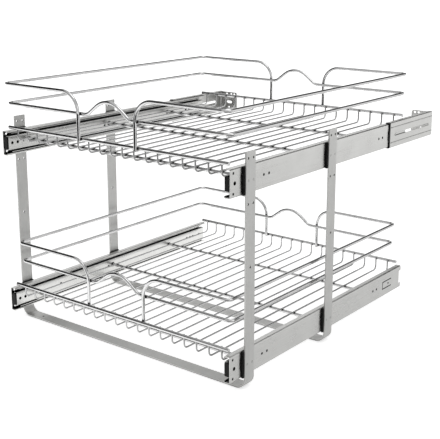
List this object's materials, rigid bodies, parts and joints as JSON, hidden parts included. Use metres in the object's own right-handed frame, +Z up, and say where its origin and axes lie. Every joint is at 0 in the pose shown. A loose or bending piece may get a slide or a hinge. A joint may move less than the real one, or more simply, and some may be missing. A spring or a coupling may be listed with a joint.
{
  "type": "pull out cabinet basket",
  "caption": "Chromed wire baskets that pull out on ball-bearing slides, one above the other, in U-shaped strap frames that screw to a base cabinet's floor and back.",
  "frame": {"origin": "on the cabinet floor, under the middle of the whole unit with the baskets in", "axes": "+X to the right seen from the front, +Y towards the cabinet's back, +Z up; the baskets pull out along -Y"},
  "size_m": [0.531, 0.6744, 0.4536],
  "materials": {
    "strap_steel": "satin nickel-grey plate on flat strap",
    "slide_zinc": "bright zinc plate on rolled sheet",
    "bracket_zinc": "bright zinc plate on pressed sheet",
    "rivet_zinc": "zinc plate",
    "chrome_wire": "bright chrome plate on round wire",
    "black_plastic": "satin moulded plastic",
    "cage_steel": "dark phosphated sheet",
    "ball_steel": "polished ball"
  },
  "bodies": {
    "frame": {"front_frame_strap": "strap_steel", "rear_frame_strap": "strap_steel", "slide_spacers": "black_plastic", "slide_rivets": "rivet_zinc", "bracket_guide_rivets": "rivet_zinc", "upper_left_outer_member": "slide_zinc", "upper_right_outer_member": "slide_zinc", "lower_left_outer_member": "slide_zinc", "lower_right_outer_member": "slide_zinc"},
    "left_bracket": {"left_rear_bracket": "bracket_zinc", "left_bracket_trim": "black_plastic"},
    "right_bracket": {"right_rear_bracket": "bracket_zinc", "right_bracket_trim": "black_plastic"},
    "upper_basket": {"upper_left_inner_member": "slide_zinc", "upper_right_inner_member": "slide_zinc", "upper_floor_wires": "chrome_wire", "upper_cross_bars": "chrome_wire", "upper_front_rim": "chrome_wire", "upper_rear_rim": "chrome_wire", "upper_middle_rail": "chrome_wire", "upper_left_top_rail": "chrome_wire", "upper_right_top_rail": "chrome_wire"},
    "upper_slide_middles": {"upper_left_middle_member": "slide_zinc", "upper_right_middle_member": "slide_zinc", "upper_front_bumpers": "black_plastic"},
    "upper_outer_cages": {"upper_outer_ball_cages": "cage_steel", "upper_outer_balls": "ball_steel"},
    "upper_inner_cages": {"upper_inner_ball_cages": "cage_steel", "upper_inner_balls": "ball_steel"},
    "lower_basket": {"lower_left_inner_member": "slide_zinc", "lower_right_inner_member": "slide_zinc", "lower_floor_wires": "chrome_wire", "lower_cross_bars": "chrome_wire", "lower_front_rim": "chrome_wire", "lower_rear_rim": "chrome_wire", "lower_middle_rail": "chrome_wire", "lower_left_top_rail": "chrome_wire", "lower_right_top_rail": "chrome_wire"},
    "lower_slide_middles": {"lower_left_middle_member": "slide_zinc", "lower_right_middle_member": "slide_zinc", "lower_front_bumpers": "black_plastic"},
    "lower_outer_cages": {"lower_outer_ball_cages": "cage_steel", "lower_outer_balls": "ball_steel"},
    "lower_inner_cages": {"lower_inner_ball_cages": "cage_steel", "lower_inner_balls": "ball_steel"}
  },
  "joints": [
    {"name": "upper_basket_slide", "type": "slide", "parent": "frame", "child": "upper_basket", "axis": [0, -1, 0], "range_m": [0, 0.54]},
    {"name": "upper_slide_middles_slide", "type": "slide", "parent": "frame", "child": "upper_slide_middles", "axis": [0, -1, 0], "range_m": [0, 0.27]},
    {"name": "upper_outer_cages_slide", "type": "slide", "parent": "frame", "child": "upper_outer_cages", "axis": [0, -1, 0], "range_m": [0, 0.135]},
    {"name": "upper_inner_cages_slide", "type": "slide", "parent": "frame", "child": "upper_inner_cages", "axis": [0, -1, 0], "range_m": [0, 0.405]},
    {"name": "lower_basket_slide", "type": "slide", "parent": "frame", "child": "lower_basket", "axis": [0, -1, 0], "range_m": [0, 0.54]},
    {"name": "lower_slide_middles_slide", "type": "slide", "parent": "frame", "child": "lower_slide_middles", "axis": [0, -1, 0], "range_m": [0, 0.27]},
    {"name": "lower_outer_cages_slide", "type": "slide", "parent": "frame", "child": "lower_outer_cages", "axis": [0, -1, 0], "range_m": [0, 0.135]},
    {"name": "lower_inner_cages_slide", "type": "slide", "parent": "frame", "child": "lower_inner_cages", "axis": [0, -1, 0], "range_m": [0, 0.405]},
    {"name": "left_bracket_adjust", "type": "slide", "parent": "frame", "child": "left_bracket", "axis": [0, 1, 0], "range_m": [-0.07, 0.028]},
    {"name": "right_bracket_adjust", "type": "slide", "parent": "frame", "child": "right_bracket", "axis": [0, 1, 0], "range_m": [-0.098, 0]}
  ],
  "couplings": [
    {"joint": "upper_slide_middles_slide", "follows": "upper_basket_slide", "ratio": 0.5},
    {"joint": "upper_outer_cages_slide", "follows": "upper_basket_slide", "ratio": 0.25},
    {"joint": "upper_inner_cages_slide", "follows": "upper_basket_slide", "ratio": 0.75},
    {"joint": "lower_slide_middles_slide", "follows": "lower_basket_slide", "ratio": 0.5},
    {"joint": "lower_outer_cages_slide", "follows": "lower_basket_slide", "ratio": 0.25},
    {"joint": "lower_inner_cages_slide", "follows": "lower_basket_slide", "ratio": 0.75}
  ]
}
